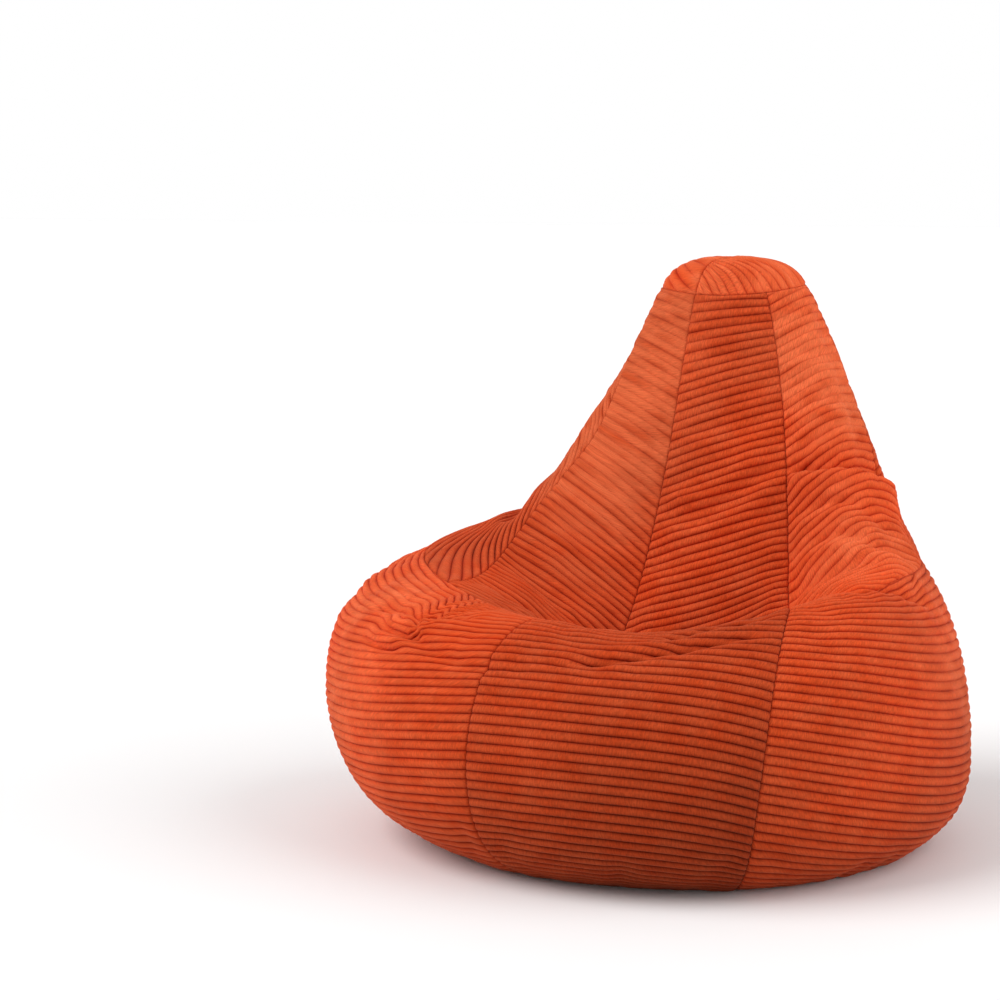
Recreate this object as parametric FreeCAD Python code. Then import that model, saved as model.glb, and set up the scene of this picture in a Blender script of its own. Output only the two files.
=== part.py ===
"""High-back bean bag chair: sewn corduroy cover, inner liner, bead filling and base zip.

One smooth body surface is described by rings of control points that run from
the floor edge, over the rolled rim, through the seat well, up the backrest and
over the top cap.  Every sewn panel is a patch of that surface with its own
thickness, so neighbouring panels meet exactly at their seams.  The liner and
the filling are the next surfaces inwards.  Units are millimetres, front is -Y,
right is +X and the floor is z = 0.
"""
import FreeCAD, Part
import math
import os
from collections import namedtuple

V = FreeCAD.Vector

# ---------------------------------------------------------------- dimensions
COLUMNS = 24                 # control columns around the body
COVER_T = 4.0                # corduroy with its backing
LINER_T = 1.6                # woven inner liner
SEAM_START = -22.0           # front left seam, degrees from the front towards the right
SEAM_FRONT_RIGHT = 35.0      # front right seam
SEAM_BACK_RIGHT = 98.0       # between back right and side right panels
SEAM_WRAP_REAR_R = 128.0     # rear right seam of the lower wrap
SEAM_REAR_R = 156.0          # rear panel, right seam
SEAM_REAR_L = 216.0          # rear panel, left seam
SEAM_WRAP_REAR_L = 232.0     # rear left seam of the lower wrap
SEAM_BACK_LEFT = 288.0       # between side left and back left panels
CROSS_RING = 5.5             # seam between the lower wrap and the backrest panels
CAP_RING = 13.1              # seam around the top cap
SWAY_REACH = 60.0            # how far round from the left seam its sway is felt, degrees
ZIP_CORNER_R = (60.0, 140.0)     # directions between which the zip line meets the right edge
ZIP_CORNER_L = (300.0, 230.0)    # and the left edge

ZIP_Y = 45.0                 # the base zip runs left to right at this depth
SLOT_HALF = 9.0              # half width of the opening the zip lies in
SLOT_END = 262.0             # half length of that opening
TAPE_T = 0.8                 # zip tape thickness
TAPE_IN = 3.4                # tape edge nearest the zip line
TAPE_OUT = 17.0              # tape edge sewn to the base
TAPE_END = 268.0             # half length of the tapes
COIL_IN = 0.6                # gap from the zip line to a coil
COIL_OUT = 3.4               # far side of a coil
COIL_LOW = 3.0               # underside of the coils
COIL_HIGH = 5.2              # top of the coils
COIL_END = 244.0             # half length of the coils
STOP_LEN = 4.0               # end stop
SLIDER_LEN = 12.0            # slider along the zip
SLIDER_HALF = 5.2            # slider half width
SLIDER_X = 234.0             # slider with the zip closed
PLATE_T = 0.9                # slider plate
PLATE_LOW = 1.7              # underside of the lower plate
PLATE_HIGH = 5.7             # underside of the upper plate
POST_T = 0.6                 # post between the plates, across the zip
POST_LEN = 4.0               # and along it
BAIL_HALF_LEN = 2.0          # loop that holds the pull, along the zip
BAIL_HALF = 1.2              # and across it
PULL_LEN = 24.0              # pull tab
PULL_BACK = 3.0              # how far the pull starts behind the slider's middle
PULL_HALF = 3.6              # half width of the pull
PULL_LOW = 0.5               # underside of the pull above the floor
PULL_T = 0.7                 # pull thickness
PULL_ROUND = 1.8             # corner radius of the pull
GUARD_HALF = 24.0            # half width of the inside guard strip
GUARD_END = 276.0            # its half length
GUARD_TOP = 9.0              # its top above the floor
GUARD_T = 1.0                # its thickness

HALVINGS = 60                # steps of the search for the ends of the zip line
MEND_TOL = 0.01              # gap a solid may be mended over
SAME_LENGTH = 1e-6           # difference between edges counted as equal

# Each ring: depth at front / side / rear, reach to the left and right, height at
# front / right / rear / left, extra height at the front right and front left
# diagonals, the turn in degrees of the front right part of the ring, and the sway in
# degrees of its left part, which leads the seam between the left panels.
Ring = namedtuple("Ring", "front side rear left right z_front z_right z_rear z_left lift_r lift_l turn sway")
BODY = [
    Ring(-360, 0, 360, 395, 362, 0, 0, 0, 0, 0, 0, -12, 0),
    Ring(-455, 0, 445, 490, 430, 30, 34, 40, 35, 0, 0, -11, 0),
    Ring(-505, 0, 490, 565, 445, 125, 135, 150, 130, 5, 0, -9, 2),
    Ring(-505, 0, 495, 585, 432, 255, 255, 260, 255, 10, 0, -6, 6),
    Ring(-450, 0, 490, 562, 405, 355, 345, 350, 362, 25, 5, -3, 14),
    Ring(-345, 20, 480, 492, 373, 390, 405, 420, 424, 30, 8, 0, 24),
    Ring(-240, 55, 470, 400, 340, 330, 445, 485, 440, 20, 0, 0, 20),
    Ring(-140, 95, 460, 335, 310, 250, 495, 545, 460, 0, -15, 0, 3),
    Ring(-30, 140, 450, 288, 281, 250, 550, 605, 515, -10, -25, 0, -6),
    Ring(65, 180, 440, 248, 252, 355, 610, 660, 575, -10, -10, 0, -2),
    Ring(140, 220, 425, 215, 223, 500, 670, 715, 638, 0, 0, 0, 8),
    Ring(185, 250, 410, 180, 195, 625, 730, 765, 703, 0, 0, 0, 0),
    Ring(213, 275, 395, 147, 165, 740, 790, 815, 770, 0, 0, 0, -9),
    Ring(228, 292, 378, 114, 132, 836, 850, 858, 846, 0, 0, 0, -11),
    Ring(240, 297, 355, 86, 100, 882, 886, 882, 880, 0, 0, 0, -6),
    Ring(262, 297, 332, 46, 52, 893, 893, 893, 893, 0, 0, 0, 0),
    Ring(293, 297, 301, 4, 4, 893, 893, 893, 893, 0, 0, 0, 0),
]
LAST = len(BODY) - 1


# ---------------------------------------------------------------- body surface
def ring_poles(ring):
    """Control points of one ring, starting at the front left seam."""
    poles = []
    for j in range(COLUMNS):
        a = math.radians(SEAM_START + 360.0 * j / COLUMNS)
        a += math.radians(ring.turn) * max(0.0, math.cos(a - math.radians(SEAM_FRONT_RIGHT))) ** 2
        aside = (math.degrees(a) - SEAM_BACK_LEFT + 180.0) % 360.0 - 180.0
        if abs(aside) < SWAY_REACH:
            a += math.radians(ring.sway) * math.cos(math.pi / 2.0 * aside / SWAY_REACH) ** 2
        s, c = math.sin(a), math.cos(a)
        x = (ring.right if s > 0 else ring.left) * s
        y = ring.side - (ring.side - ring.front if c > 0 else ring.rear - ring.side) * c
        z = (c * c * (ring.z_front if c > 0 else ring.z_rear)
             + s * s * (ring.z_right if s > 0 else ring.z_left))
        if c > 0:
            z += (ring.lift_r if s > 0 else ring.lift_l) * (2.0 * s * c) ** 2
        poles.append(V(x, y, z))
    return poles


def outer_net():
    return [ring_poles(r) for r in BODY]


def offset_net(net, depth):
    """The same net moved inwards by depth; its first and last rings stay flat."""
    moved = []
    for i, row in enumerate(net):
        below, above = net[max(i - 1, 0)], net[min(i + 1, LAST)]
        new = []
        for j in range(COLUMNS):
            across = row[(j + 1) % COLUMNS] - row[j - 1]
            along = above[j] - below[j]
            n = across.cross(along)
            n.normalize()
            p = row[j] - n * depth
            if i == 0:
                flat = V(n.x, n.y, 0)
                flat.normalize()
                p = row[j] - flat * depth
                p.z = depth
            elif i >= LAST - 1:
                p = V(row[j].x, row[j].y, row[j].z - depth)
            new.append(p)
        moved.append(new)
    return moved


def skin(net):
    """Cubic surface through a net: closed around the body, open from floor to top."""
    rows = len(net)
    columns = [[net[i][(j - 1) % COLUMNS] for i in range(rows)] for j in range(COLUMNS)]
    surface = Part.BSplineSurface()
    spans = rows - 3
    surface.buildFromPolesMultsKnots(
        columns, [1] * (COLUMNS + 1), [4] + [1] * (spans - 1) + [4],
        [float(k) for k in range(COLUMNS + 1)], [k / spans for k in range(spans + 1)],
        True, False, 3, 3)
    return surface


def u_at(degrees):
    """Surface parameter of a seam direction."""
    return (degrees - SEAM_START) * COLUMNS / 360.0


def v_at(ring):
    """Surface parameter of the point nearest a (fractional) ring number."""
    if ring <= 0 or ring >= LAST:
        return 0.0 if ring <= 0 else 1.0
    return (ring - 1.0) / (LAST - 2)


def iso_v(surface, u0, u1, v):
    return surface.vIso(v).toShape(u0, u1)


def line(p, q):
    return Part.makeLine(p, q)


def close(faces, name):
    """Sew faces into one valid solid."""
    shell = Part.makeShell(faces)
    shell.sewShape()
    solid = Part.makeSolid(shell if shell.ShapeType == "Shell" else shell.Shells[0])
    if solid.Volume < 0:
        solid.reverse()
    if not solid.isValid():
        solid.fix(MEND_TOL, MEND_TOL, MEND_TOL)
    if not solid.isValid() or not solid.isClosed():
        raise ValueError("%s did not close" % name)
    return solid


def patch(outer, inner, u0, u1, v0, v1, name):
    """One sewn panel: outer face, inner face and the four cut edges."""
    sides = []
    for u in (u0, u1):
        sides.append(Part.makeRuledSurface(outer.uIso(u).toShape(v0, v1), inner.uIso(u).toShape(v0, v1)))
    for v in (v0, v1):
        sides.append(Part.makeRuledSurface(iso_v(outer, u0, u1, v), iso_v(inner, u0, u1, v)))
    return close([outer.toShape(u0, u1, v0, v1), inner.toShape(u0, u1, v0, v1)] + sides, name)


def plate_between(low, high, name):
    """Solid between two flat loops given as matching lists of edges."""
    faces = [Part.Face(Part.Wire(low)), Part.Face(Part.Wire(high))]
    for a, b in zip(low, high):
        faces.append(Part.makeRuledSurface(a, b))
    return close(faces, name)


def ends(edge):
    return edge.valueAt(edge.FirstParameter), edge.valueAt(edge.LastParameter)


def cap_half(outer, inner, u0, u1, name):
    """Half of the top cap, closed over the middle by a small flat."""
    v0, v1 = v_at(CAP_RING), 1.0
    sides = []
    for u in (u0, u1):
        sides.append(Part.makeRuledSurface(outer.uIso(u).toShape(v0, v1), inner.uIso(u).toShape(v0, v1)))
    sides.append(Part.makeRuledSurface(iso_v(outer, u0, u1, v0), iso_v(inner, u0, u1, v0)))
    chords = []
    for surface in (outer, inner):
        arc = iso_v(surface, u0, u1, v1)
        p, q = ends(arc)
        chord = line(q, p)
        chords.append(chord)
        sides.append(Part.Face(Part.Wire([arc, chord])))
    sides.append(Part.makeRuledSurface(chords[0], chords[1]))
    return close([outer.toShape(u0, u1, v0, v1), inner.toShape(u0, u1, v0, v1)] + sides, name)


def body_solid(surface, name):
    """Everything enclosed by one of the body surfaces."""
    lid = Part.Face(Part.Wire([iso_v(surface, 0.0, float(COLUMNS), 1.0)]))
    floor = Part.Face(Part.Wire([iso_v(surface, 0.0, float(COLUMNS), 0.0)]))
    return close([surface.toShape(), lid, floor], name)


def box(x0, x1, y0, y1, z0, z1):
    return Part.makeBox(x1 - x0, y1 - y0, z1 - z0, V(x0, y0, z0))


def parameter_where_y(surface, y, u_low, u_high):
    """Where the floor edge crosses a given depth, between two parameters."""
    edge = surface.vIso(0.0)
    sign = 1 if edge.value(u_high).y > edge.value(u_low).y else -1
    for _ in range(HALVINGS):
        mid = 0.5 * (u_low + u_high)
        if (edge.value(mid).y - y) * sign < 0:
            u_low = mid
        else:
            u_high = mid
    return 0.5 * (u_low + u_high)


# ---------------------------------------------------------------- assembly
def cover_panels(outer, inner):
    """All the corduroy panels except the base."""
    cross, cap = v_at(CROSS_RING), v_at(CAP_RING)
    full = SEAM_START + 360.0
    wrap = [
        ("wrap_front", SEAM_START, SEAM_FRONT_RIGHT),
        ("wrap_right", SEAM_FRONT_RIGHT, SEAM_WRAP_REAR_R),
        ("wrap_rear", SEAM_WRAP_REAR_R, SEAM_WRAP_REAR_L),
        ("wrap_left", SEAM_WRAP_REAR_L, full),
    ]
    gores = [
        ("back_centre_panel", SEAM_START, SEAM_FRONT_RIGHT),
        ("back_right_panel", SEAM_FRONT_RIGHT, SEAM_BACK_RIGHT),
        ("side_right_panel", SEAM_BACK_RIGHT, SEAM_REAR_R),
        ("rear_panel", SEAM_REAR_R, SEAM_REAR_L),
        ("side_left_panel", SEAM_REAR_L, SEAM_BACK_LEFT),
        ("back_left_panel", SEAM_BACK_LEFT, full),
    ]
    parts = {}
    for name, a, b in wrap:
        parts[name] = patch(outer, inner, u_at(a), u_at(b), 0.0, cross, name)
    for name, a, b in gores:
        parts[name] = patch(outer, inner, u_at(a), u_at(b), cross, cap, name)
    half = COLUMNS / 2.0
    parts["cap_right"] = cap_half(outer, inner, 0.0, half, "cap_right")
    parts["cap_left"] = cap_half(outer, inner, half, float(COLUMNS), "cap_left")
    return parts


def base_panels(outer, inner):
    """Front and rear half of the base, with the opening for the zip between them."""
    loops = {"base_front": [], "base_rear": []}
    for surface, z in ((outer, 0.0), (inner, COVER_T)):
        right = parameter_where_y(surface, ZIP_Y, u_at(ZIP_CORNER_R[0]), u_at(ZIP_CORNER_R[1]))
        left = parameter_where_y(surface, ZIP_Y, u_at(ZIP_CORNER_L[0]), u_at(ZIP_CORNER_L[1]))
        # the front arc passes through the start of the parameter range
        front = [iso_v(surface, left, float(COLUMNS), 0.0), iso_v(surface, 0.0, right, 0.0)]
        rear = [iso_v(surface, right, left, 0.0)]
        for name, arcs, side in (("base_front", front, -1), ("base_rear", rear, 1)):
            first, last = ends(arcs[0])[0], ends(arcs[-1])[1]
            y = ZIP_Y + side * SLOT_HALF
            sx = 1 if last.x > 0 else -1
            corners = [last, V(sx * SLOT_END, ZIP_Y, z), V(sx * SLOT_END, y, z),
                       V(-sx * SLOT_END, y, z), V(-sx * SLOT_END, ZIP_Y, z), first]
            loops[name].append(arcs + [line(p, q) for p, q in zip(corners, corners[1:])])
    return {name: plate_between(low, high, name) for name, (low, high) in loops.items()}


def zip_parts():
    """Tapes, coils, end stops, slider with its pull, and the inside guard strip."""
    parts = {}
    for name, side in (("front", -1), ("rear", 1)):
        lo, hi = sorted((ZIP_Y + side * TAPE_IN, ZIP_Y + side * TAPE_OUT))
        parts["zip_tape_" + name] = box(-TAPE_END, TAPE_END, lo, hi, COVER_T, COVER_T + TAPE_T)
        lo, hi = sorted((ZIP_Y + side * COIL_IN, ZIP_Y + side * COIL_OUT))
        parts["zip_coil_" + name] = box(-COIL_END, COIL_END, lo, hi, COIL_LOW, COIL_HIGH)
    for name, x in (("left", -COIL_END - STOP_LEN), ("right", COIL_END)):
        parts["zip_stop_" + name] = box(x, x + STOP_LEN, ZIP_Y - TAPE_IN, ZIP_Y + TAPE_IN,
                                        COIL_LOW, COIL_HIGH)
    x0, x1 = SLIDER_X - SLIDER_LEN / 2, SLIDER_X + SLIDER_LEN / 2
    low = box(x0, x1, ZIP_Y - SLIDER_HALF, ZIP_Y + SLIDER_HALF, PLATE_LOW, PLATE_LOW + PLATE_T)
    high = box(x0, x1, ZIP_Y - SLIDER_HALF, ZIP_Y + SLIDER_HALF, PLATE_HIGH, PLATE_HIGH + PLATE_T)
    post = box(x0, x0 + POST_LEN, ZIP_Y - POST_T / 2, ZIP_Y + POST_T / 2, PLATE_LOW + PLATE_T, PLATE_HIGH)
    bail = box(SLIDER_X - BAIL_HALF_LEN, SLIDER_X + BAIL_HALF_LEN, ZIP_Y - BAIL_HALF, ZIP_Y + BAIL_HALF,
               PULL_LOW + PULL_T, PLATE_LOW)
    parts["zip_slider"] = low.fuse([high, post, bail]).removeSplitter()
    pull = box(SLIDER_X - PULL_BACK, SLIDER_X + PULL_LEN - PULL_BACK, ZIP_Y - PULL_HALF, ZIP_Y + PULL_HALF,
               PULL_LOW, PULL_LOW + PULL_T)
    corners = [e for e in pull.Edges if abs(e.Length - PULL_T) < SAME_LENGTH]
    parts["zip_pull"] = pull.makeFillet(PULL_ROUND, corners)
    shell = box(-GUARD_END, GUARD_END, ZIP_Y - GUARD_HALF, ZIP_Y + GUARD_HALF, COVER_T, GUARD_TOP)
    hollow = box(-GUARD_END + GUARD_T, GUARD_END - GUARD_T, ZIP_Y - GUARD_HALF + GUARD_T,
                 ZIP_Y + GUARD_HALF - GUARD_T, COVER_T, GUARD_TOP - GUARD_T)
    parts["zip_guard"] = shell.cut(hollow)
    return parts


def liner_and_filling(net):
    """The liner fills the cover; the beads fill the liner."""
    groove = box(-GUARD_END, GUARD_END, ZIP_Y - GUARD_HALF, ZIP_Y + GUARD_HALF, 0.0, GUARD_TOP)
    inside = box(-GUARD_END - LINER_T, GUARD_END + LINER_T, ZIP_Y - GUARD_HALF - LINER_T,
                 ZIP_Y + GUARD_HALF + LINER_T, 0.0, GUARD_TOP + LINER_T)
    liner_outside = body_solid(skin(offset_net(net, COVER_T)), "liner outside").cut(groove)
    filling = body_solid(skin(offset_net(net, COVER_T + LINER_T)), "filling").cut(inside)
    return {"inner_liner": liner_outside.cut(filling), "bead_filling": filling}


def main():
    os.makedirs("parts", exist_ok=True)
    net = outer_net()
    outer, inner = skin(net), skin(offset_net(net, COVER_T))
    parts = {}
    parts.update(cover_panels(outer, inner))
    parts.update(base_panels(outer, inner))
    parts.update(zip_parts())
    parts.update(liner_and_filling(net))
    for name, shape in parts.items():
        if shape.ShapeType == "Compound" and len(shape.Solids) == 1:
            shape = shape.Solids[0]
        shape.exportStep(os.path.join("parts", name + ".step"))
        b = shape.BoundBox
        print("%-20s %9.1f cm3  valid=%s solids=%d  x %.0f..%.0f y %.0f..%.0f z %.1f..%.1f" % (
            name, shape.Volume / 1000.0, shape.isValid(), len(shape.Solids),
            b.XMin, b.XMax, b.YMin, b.YMax, b.ZMin, b.ZMax))


main()
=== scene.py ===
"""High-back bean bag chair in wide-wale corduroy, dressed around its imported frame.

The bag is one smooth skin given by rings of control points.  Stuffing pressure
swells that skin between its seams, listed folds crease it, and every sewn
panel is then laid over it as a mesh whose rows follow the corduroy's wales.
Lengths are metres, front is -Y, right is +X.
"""

import logging
import math
from dataclasses import dataclass, field
from enum import Enum
from typing import Optional, Sequence

import bmesh
import bpy
import numpy as np
from mathutils import Matrix, Vector


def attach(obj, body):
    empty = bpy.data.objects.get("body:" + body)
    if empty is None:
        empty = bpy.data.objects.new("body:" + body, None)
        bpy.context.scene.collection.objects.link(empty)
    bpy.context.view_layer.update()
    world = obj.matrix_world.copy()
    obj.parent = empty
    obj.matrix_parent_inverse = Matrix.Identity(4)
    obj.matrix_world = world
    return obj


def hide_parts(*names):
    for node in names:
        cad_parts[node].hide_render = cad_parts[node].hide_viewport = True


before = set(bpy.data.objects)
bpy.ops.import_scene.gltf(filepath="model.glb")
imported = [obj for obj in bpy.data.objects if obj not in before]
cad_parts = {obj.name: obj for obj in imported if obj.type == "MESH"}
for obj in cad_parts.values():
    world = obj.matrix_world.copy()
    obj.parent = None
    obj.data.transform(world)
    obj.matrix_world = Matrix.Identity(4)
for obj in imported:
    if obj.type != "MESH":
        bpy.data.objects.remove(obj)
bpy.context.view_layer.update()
LOG = logging.getLogger("bean_bag")
MM = 0.001
Array = np.ndarray
MERGE_REACH = 2e-5     # vertices nearer than this are one
SEAM_INSET = 1e-6      # keeps a panel's edge on its own side of a seam, in degrees
RIM_INSET = 1e-4       # keeps a half of the base inside its own outline

# ------------------------------------------------------------------ body skin
LEFT_SEAM = 288.0      # direction of the seam between the left panels
SWAY_REACH = 60.0      # how far round from it its sway is felt


@dataclass(frozen=True)
class Ring:
    """One ring of the skin's control points, in millimetres and degrees."""

    front: float
    side: float
    rear: float
    left: float
    right: float
    z_front: float
    z_right: float
    z_rear: float
    z_left: float
    lift_right: float
    lift_left: float
    turn: float
    sway: float

    def points(self, count: int, start: float) -> Array:
        """Control points around the ring.

        Args:
            count: how many points go round.
            start: direction of the first, in degrees from the front.

        Returns:
            (count, 3) positions in metres.
        """
        angle = np.radians(start + 360.0 * np.arange(count) / count)
        lean = np.maximum(0.0, np.cos(angle - math.radians(35.0))) ** 2
        angle = angle + math.radians(self.turn) * lean
        aside = (np.degrees(angle) - LEFT_SEAM + 180.0) % 360.0 - 180.0
        angle = angle + np.where(np.abs(aside) < SWAY_REACH, math.radians(self.sway)
                                 * np.cos(math.pi / 2.0 * aside / SWAY_REACH) ** 2, 0.0)
        s, c = np.sin(angle), np.cos(angle)
        x = np.where(s > 0, self.right, self.left) * s
        y = self.side - np.where(c > 0, self.side - self.front, self.rear - self.side) * c
        z = (c * c * np.where(c > 0, self.z_front, self.z_rear)
             + s * s * np.where(s > 0, self.z_right, self.z_left))
        lift = np.where(s > 0, self.lift_right, self.lift_left) * (2.0 * s * c) ** 2
        z = z + np.where(c > 0, lift, 0.0)
        return np.stack([x, y, z], axis=1) * MM


BODY_RINGS = (
    Ring(-360, 0, 360, 395, 362, 0, 0, 0, 0, 0, 0, -12, 0),
    Ring(-455, 0, 445, 490, 430, 30, 34, 40, 35, 0, 0, -11, 0),
    Ring(-505, 0, 490, 565, 445, 125, 135, 150, 130, 5, 0, -9, 2),
    Ring(-505, 0, 495, 585, 432, 255, 255, 260, 255, 10, 0, -6, 6),
    Ring(-450, 0, 490, 562, 405, 355, 345, 350, 362, 25, 5, -3, 14),
    Ring(-345, 20, 480, 492, 373, 390, 405, 420, 424, 30, 8, 0, 24),
    Ring(-240, 55, 470, 400, 340, 330, 445, 485, 440, 20, 0, 0, 20),
    Ring(-140, 95, 460, 335, 310, 250, 495, 545, 460, 0, -15, 0, 3),
    Ring(-30, 140, 450, 288, 281, 250, 550, 605, 515, -10, -25, 0, -6),
    Ring(65, 180, 440, 248, 252, 355, 610, 660, 575, -10, -10, 0, -2),
    Ring(140, 220, 425, 215, 223, 500, 670, 715, 638, 0, 0, 0, 8),
    Ring(185, 250, 410, 180, 195, 625, 730, 765, 703, 0, 0, 0, 0),
    Ring(213, 275, 395, 147, 165, 740, 790, 815, 770, 0, 0, 0, -9),
    Ring(228, 292, 378, 114, 132, 836, 850, 858, 846, 0, 0, 0, -11),
    Ring(240, 297, 355, 86, 100, 882, 886, 882, 880, 0, 0, 0, -6),
    Ring(262, 297, 332, 46, 52, 893, 893, 893, 893, 0, 0, 0, 0),
    Ring(293, 297, 301, 4, 4, 893, 893, 893, 893, 0, 0, 0, 0),
)
COLUMNS = 24
START = -22.0          # the front left seam, degrees from the front towards the right
CROSS_RING = 5.5       # seam between the lower wrap and the backrest panels
CAP_RING = 13.1        # seam around the top cap
TOP_RING = 16.0        # the middle of the cap
LINER_TOP_RING = 14.6  # where the liner closes, under the cap


def height_of(ring: float) -> float:
    """Skin parameter (0 at the floor, 1 at the middle of the cap) of a ring number."""
    last = len(BODY_RINGS) - 1
    if ring <= 0:
        return 0.0
    return min(1.0, (ring - 1.0) / (last - 2.0)) if ring < last else 1.0


def clamped_basis(count: int, t: Array) -> Array:
    """Cubic B-spline weights with clamped ends.

    Args:
        count: number of control values.
        t: parameters from 0 to 1.

    Returns:
        (len(t), count) weights.
    """
    knots = np.concatenate([[0.0] * 3, np.linspace(0.0, 1.0, count - 2), [1.0] * 3])
    t = np.clip(t, 0.0, 1.0 - 1e-12)[:, None]
    weights = ((t >= knots[None, :-1]) & (t < knots[None, 1:])).astype(float)
    for degree in (1, 2, 3):
        left = knots[degree:-1] - knots[:-degree - 1]
        right = knots[degree + 1:] - knots[1:-degree]
        rise = (t - knots[None, :-degree - 1]) / np.where(left > 0, left, 1.0)
        fall = (knots[None, degree + 1:] - t) / np.where(right > 0, right, 1.0)
        weights = (np.where(left > 0, rise, 0.0) * weights[:, :-1]
                   + np.where(right > 0, fall, 0.0) * weights[:, 1:])
    return weights


def closed_basis(count: int, position: Array) -> Array:
    """Cubic B-spline weights around a closed loop.

    Args:
        count: number of control values around the loop.
        position: places along the loop, where 1 is one control value.

    Returns:
        (len(position), count) weights.
    """
    base = np.floor(position).astype(int)
    f = position - base
    parts = ((1 - f) ** 3 / 6, (3 * f ** 3 - 6 * f ** 2 + 4) / 6,
             (-3 * f ** 3 + 3 * f ** 2 + 3 * f + 1) / 6, f ** 3 / 6)
    weights = np.zeros((len(position), count))
    rows = np.arange(len(position))
    for step, part in zip((-1, 0, 1, 2), parts):
        np.add.at(weights, (rows, (base + step) % count), part)
    return weights


@dataclass(frozen=True)
class Fold:
    """A crease pressed into the skin along a path of (degrees, ring) places."""

    path: tuple[tuple[float, float], ...]
    depth: float
    width: float
    lip: float = 0.0
    sharp: bool = False
    end: float = 0.25
    step: float = 0.0
    reach: float = 0.045

    def press(self, skin: "Skin") -> Array:
        """How far the fold moves each skin sample outwards, in metres."""
        spots = np.array(self.path)
        legs = np.concatenate([[0.0], np.cumsum(np.hypot(*np.diff(spots * [0.01, 0.3], axis=0).T))])
        t = np.linspace(0.0, legs[-1], 60)
        degrees = smooth_through(t, legs, spots[:, 0])
        heights = smooth_through(t, legs, spots[:, 1])
        v = np.array([height_of(r) for r in heights])
        line = skin.look_up(skin.points, degrees, v)
        out = skin.look_up(skin.normals, degrees, v)
        above = np.cross(out, np.gradient(line, axis=0))
        above /= np.linalg.norm(above, axis=1, keepdims=True)
        move = np.zeros(skin.points.shape[:2])
        reach = max(4.0 * self.width, 3.0 * self.reach if self.step else 0.0)
        low, high = line.min(axis=0) - reach, line.max(axis=0) + reach
        near = np.all((skin.points > low) & (skin.points < high), axis=2)
        spots3 = skin.points[near]
        best, index = np.full(len(spots3), 9.0), np.zeros(len(spots3), int)
        for k, spot in enumerate(line):
            gap = np.linalg.norm(spots3 - spot, axis=1)
            closer = gap < best
            best[closer], index[closer] = gap[closer], k
        share = index / (len(line) - 1.0)
        fade = np.clip(np.minimum(share, 1.0 - share) / self.end, 0.0, 1.0)
        fade = fade * fade * (3.0 - 2.0 * fade)
        near_line = best / self.width
        valley = np.exp(-near_line) if self.sharp else np.exp(-near_line ** 2)
        swell = self.lip * np.exp(-(near_line - 1.9) ** 2)
        side = np.einsum("ij,ij->i", spots3 - line[index], above[index])
        drop = -self.step * np.tanh(side / 0.0025) * np.exp(-(best / self.reach) ** 1.5)
        move[near] = (swell - self.depth * valley + drop) * fade
        return move


def smooth_through(t: Array, knots: Array, values: Array) -> Array:
    """A smooth curve through values given at knots, with no overshoot worth noting."""
    if len(knots) < 3:
        return np.interp(t, knots, values)
    slopes = np.gradient(values, knots)
    k = np.clip(np.searchsorted(knots, t) - 1, 0, len(knots) - 2)
    span = knots[k + 1] - knots[k]
    f = (t - knots[k]) / span
    return ((2 * f ** 3 - 3 * f ** 2 + 1) * values[k] + (f ** 3 - 2 * f ** 2 + f) * span * slopes[k]
            + (3 * f ** 2 - 2 * f ** 3) * values[k + 1] + (f ** 3 - f ** 2) * span * slopes[k + 1])


def soft_noise(points: Array, size: float, seed: int) -> Array:
    """Smooth repeatable noise from summed waves.

    Args:
        points: (..., 3) positions in metres.
        size: the size of its features in metres.
        seed: which pattern.

    Returns:
        Values of about -1 to 1, one per point.
    """
    rng = np.random.default_rng(seed)
    total = np.zeros(points.shape[:-1])
    for _ in range(9):
        way = rng.normal(size=3)
        way *= rng.uniform(0.6, 1.5) * math.pi / size / np.linalg.norm(way)
        total += np.sin(points @ way + rng.uniform(0.0, 2.0 * math.pi))
    return total / 4.0


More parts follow.
